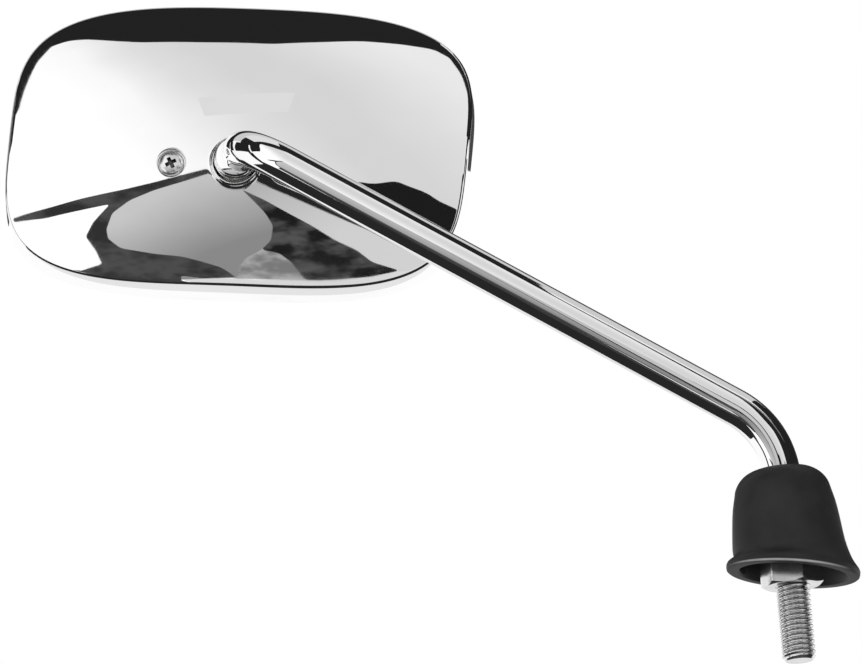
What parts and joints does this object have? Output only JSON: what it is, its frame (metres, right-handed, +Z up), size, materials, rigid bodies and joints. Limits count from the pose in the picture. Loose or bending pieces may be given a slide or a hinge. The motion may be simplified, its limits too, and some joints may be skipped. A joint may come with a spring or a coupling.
{
  "type": "scooter mirror",
  "caption": "Rounded rectangular rear-view mirror in a chromed shell on a ball joint, on a bent stem with a threaded stud, lock nut and rubber boot.",
  "frame": {"origin": "centre of the lock nut's lower face, on the stud's axis", "axes": "+Z up along the stud; the stem rises towards -X; the glass faces +Y, towards the rider, and the chromed back faces -Y"},
  "size_m": [0.2376, 0.075, 0.2208],
  "materials": {
    "chromed_steel": "bright plating",
    "ball_steel": "ground",
    "chromed_collar": "bright plating",
    "nylon": "as moulded",
    "chromed_plastic": "bright plating",
    "moulded_plastic": "fine grain",
    "foam": "closed cell",
    "mirror": "silvered",
    "clamp_steel": "zinc plated",
    "yellow_zinc": "yellow zinc plated",
    "spring_steel": "blued",
    "zinc_screw": "bright zinc",
    "rubber": "matt",
    "zinc_nut": "bright zinc"
  },
  "bodies": {
    "stem_body": {"stem": "chromed_steel", "stem_ball": "ball_steel", "neck_collar": "chromed_collar"},
    "rear_ring": {"rear_liner": "nylon"},
    "front_ring": {"front_liner": "nylon"},
    "head": {"back_shell": "chromed_plastic", "glass_holder": "moulded_plastic", "glass_pad": "foam", "mirror_glass": "mirror", "clamp_plate": "clamp_steel", "clamp_screws": "yellow_zinc", "spring_washers": "spring_steel", "back_screw": "zinc_screw"},
    "nut": {"lock_nut": "zinc_nut"},
    "boot_body": {"boot": "rubber"}
  },
  "joints": [
    {"name": "head_roll", "type": "hinge", "parent": "stem_body", "child": "rear_ring", "pos_m": [-0.1472, 0.0345, 0.1466], "axis": [0, 1, 0], "continuous": true},
    {"name": "head_pan", "type": "hinge", "parent": "rear_ring", "child": "front_ring", "pos_m": [-0.1472, 0.0345, 0.1466], "axis": [0.1305, 0, 0.9914], "range_deg": [-10, 10]},
    {"name": "head_tilt", "type": "hinge", "parent": "front_ring", "child": "head", "pos_m": [-0.1472, 0.0345, 0.1466], "axis": [0.9914, 0, -0.1305], "range_deg": [-10, 10]},
    {"name": "nut_turn", "type": "hinge", "parent": "stem_body", "child": "nut", "pos_m": [0, 0, 0.004], "axis": [0, 0, 1], "continuous": true},
    {"name": "boot_turn", "type": "hinge", "parent": "stem_body", "child": "boot_body", "pos_m": [0, 0, 0.02], "axis": [0, 0, 1], "continuous": true}
  ]
}
